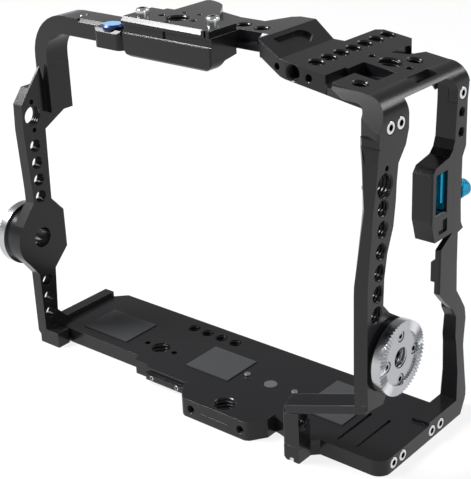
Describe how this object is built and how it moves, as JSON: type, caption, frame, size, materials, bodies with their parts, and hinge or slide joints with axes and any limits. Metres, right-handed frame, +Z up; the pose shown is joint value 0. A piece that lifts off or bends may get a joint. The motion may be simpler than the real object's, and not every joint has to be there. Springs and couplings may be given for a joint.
{
  "type": "camera cage",
  "caption": "Machined camera cage with a threaded deck, toothed side rosettes, a cable clamp and an accessory block at its foot.",
  "frame": {"origin": "middle of the cage's width on top of the seat pads, where the camera stands", "axes": "+X towards the side with the cable clamp, +Y towards the back, +Z up"},
  "size_m": [0.2265, 0.0825, 0.182],
  "materials": {
    "black_anodised_aluminium": "bead blasted and black anodised",
    "silver_aluminium": "bead blasted and clear anodised",
    "bright_steel": "nickel plated screws",
    "dull_steel": "plain stainless steel",
    "cyan_anodised_aluminium": "cyan anodised",
    "blue_anodised_aluminium": "light blue anodised with a bright bevel",
    "rubber_pad": "thin silicone pads"
  },
  "bodies": {
    "cage": {"top_frame": "black_anodised_aluminium", "bridge_block": "black_anodised_aluminium", "bridge_cap": "black_anodised_aluminium", "cap_screws": "bright_steel", "arch_arm": "black_anodised_aluminium", "arm_bar": "black_anodised_aluminium", "arm_screws": "bright_steel", "knob_block": "black_anodised_aluminium", "knob_pin": "bright_steel", "left_plate": "black_anodised_aluminium", "left_rosette": "silver_aluminium", "left_rosette_screws": "dull_steel", "right_front_post": "black_anodised_aluminium", "front_arm": "black_anodised_aluminium", "right_rosette": "silver_aluminium", "right_rosette_screws": "dull_steel", "post_screws": "bright_steel", "rear_post": "black_anodised_aluminium", "clamp_body": "black_anodised_aluminium", "clamp_body_screws": "bright_steel", "base_plate": "black_anodised_aluminium", "edge_screws": "bright_steel", "foot_screws": "bright_steel", "plate_screws": "bright_steel", "rod_block": "black_anodised_aluminium", "rod_block_screws": "bright_steel", "step_plate": "black_anodised_aluminium", "step_screws": "bright_steel", "seat_pads": "rubber_pad", "screw_clip": "dull_steel", "locating_pins": "dull_steel"},
    "clamp_jaw": {"clamp_jaw": "cyan_anodised_aluminium"},
    "clamp_screw": {"clamp_screw": "cyan_anodised_aluminium"},
    "arm_knob": {"arm_knob": "blue_anodised_aluminium"},
    "camera_screw": {"camera_screw": "dull_steel"}
  },
  "joints": [
    {"name": "jaw_slide", "type": "slide", "parent": "cage", "child": "clamp_jaw", "axis": [0, -1, 0], "range_m": [0, 0.0035]},
    {"name": "clamp_screw_turn", "type": "hinge", "parent": "clamp_jaw", "child": "clamp_screw", "pos_m": [0.10025, 0.03, 0.1009], "axis": [0, -1, 0], "range_deg": [0, 2520]},
    {"name": "arm_knob_turn", "type": "hinge", "parent": "cage", "child": "arm_knob", "pos_m": [-0.0475, -0.016, 0.161], "axis": [0, 0, 1], "continuous": true},
    {"name": "camera_screw_turn", "type": "hinge", "parent": "cage", "child": "camera_screw", "pos_m": [0.026, -0.004, -0.005], "axis": [0, 0, 1], "continuous": true}
  ],
  "couplings": [
    {"joint": "clamp_screw_turn", "follows": "jaw_slide", "rad_per_m": 12566}
  ]
}
